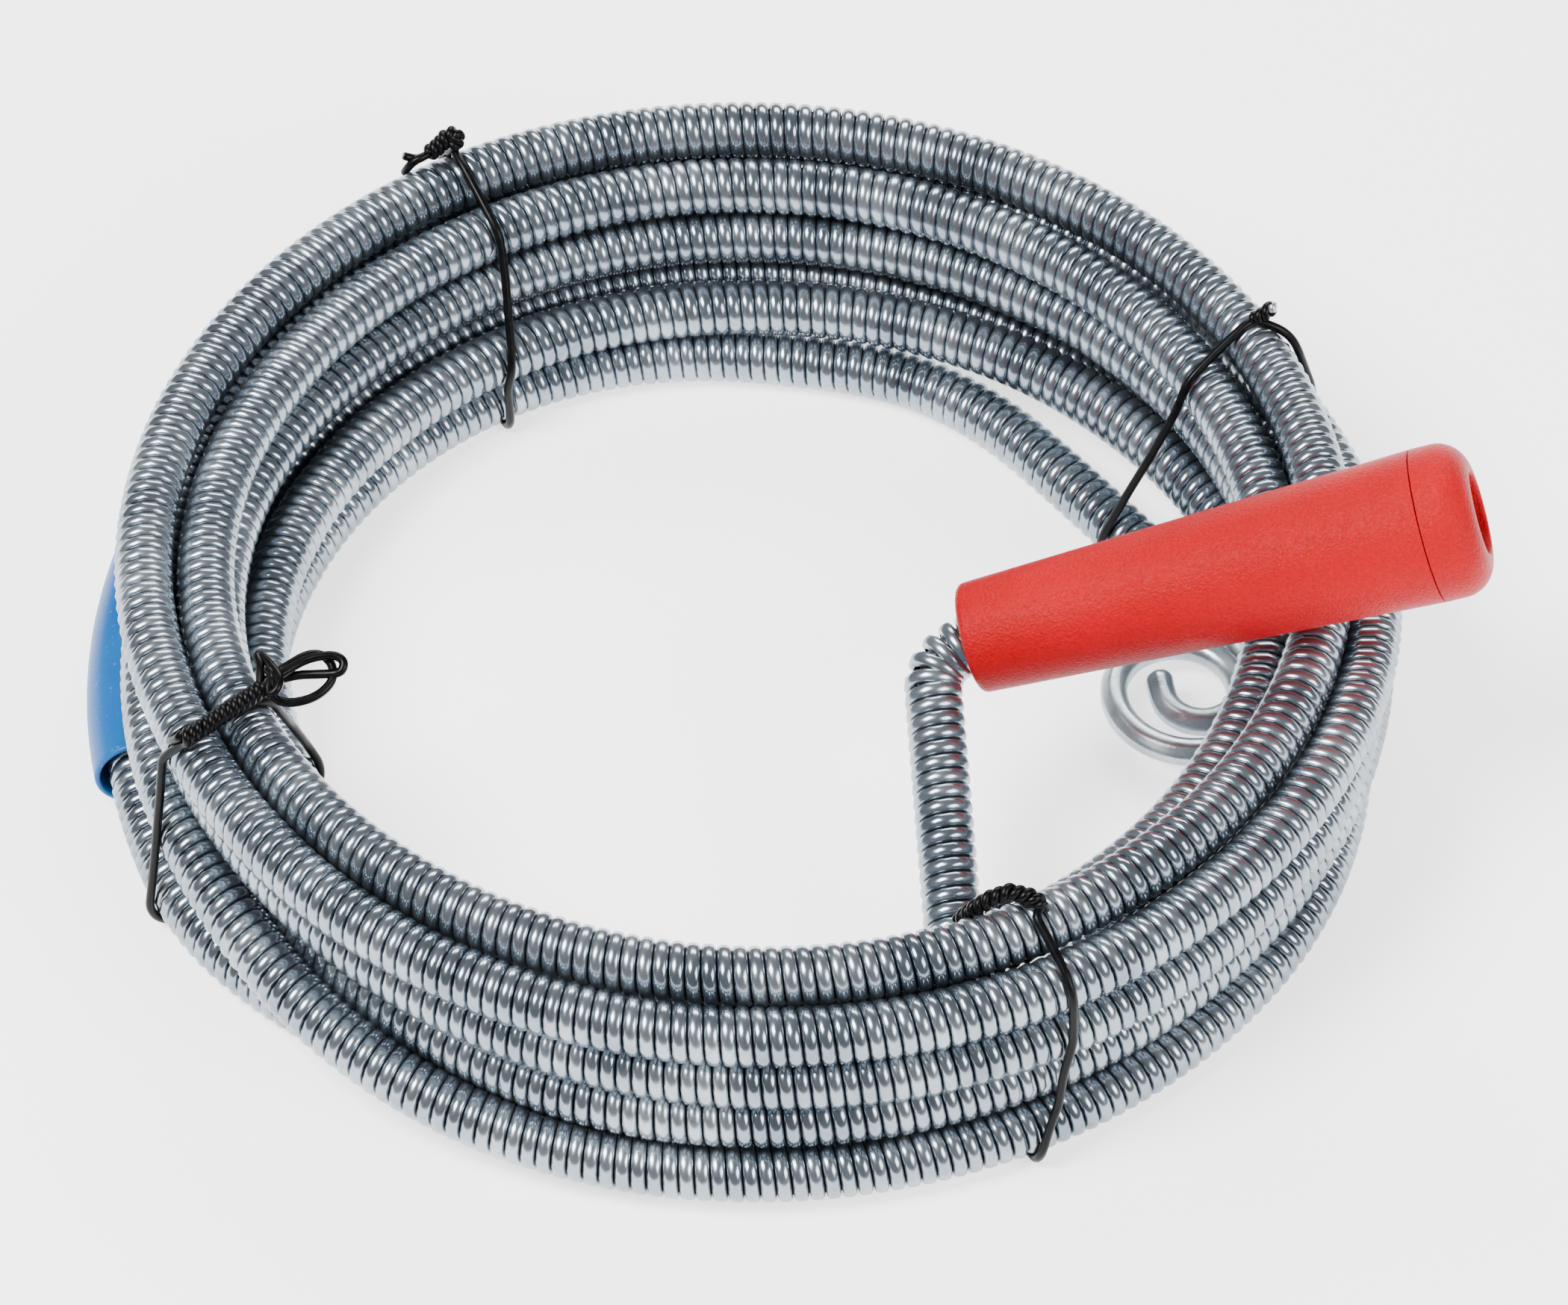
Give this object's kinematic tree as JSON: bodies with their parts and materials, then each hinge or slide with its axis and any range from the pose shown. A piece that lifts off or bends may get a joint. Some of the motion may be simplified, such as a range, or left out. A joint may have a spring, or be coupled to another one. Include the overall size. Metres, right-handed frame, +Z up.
{
  "type": "drain auger",
  "caption": "Coiled spring drain auger with a cranked end, a free-turning tapered grip, a sliding guide sleeve and a pigtail head.",
  "frame": {"origin": "on the plane the coil lies on, below the middle of the whole object's box; the coil's own axis stands 2.9 mm towards -X of it", "axes": "+Z up along the coil's axis; +X towards the side the grip points to; -Y is the side nearest the viewer of the crank"},
  "size_m": [0.2126, 0.198, 0.0704],
  "materials": {
    "zinc_wire": "galvanised, semi-bright",
    "core_steel": "plain steel",
    "red_plastic": "fine moulded grain",
    "blue_plastic": "satin",
    "black_tie": "satin, plastic-coated wire"
  },
  "bodies": {
    "coil": {"cable_coil": "zinc_wire", "cable_sleeve_run": "zinc_wire", "crank_cable": "zinc_wire", "cable_tail": "zinc_wire", "crank_core": "core_steel", "auger_head": "zinc_wire", "grip_washer": "core_steel", "core_lock": "core_steel", "tie_back_left": "black_tie", "tie_back_right": "black_tie", "tie_front_left": "black_tie", "tie_front_right": "black_tie"},
    "grip": {"grip_body": "red_plastic", "grip_end_cap": "red_plastic"},
    "sleeve": {"guide_sleeve": "blue_plastic"}
  },
  "joints": [
    {"name": "grip_spin", "type": "hinge", "parent": "coil", "child": "grip", "pos_m": [0.0229, -0.0188, 0.034], "axis": [0.9496, 0.0415, 0.3107], "continuous": true},
    {"name": "sleeve_slide", "type": "hinge", "parent": "coil", "child": "sleeve", "pos_m": [-0.0029, 0, 0.007], "axis": [0, 0, 1], "range_deg": [-20, 8]}
  ]
}
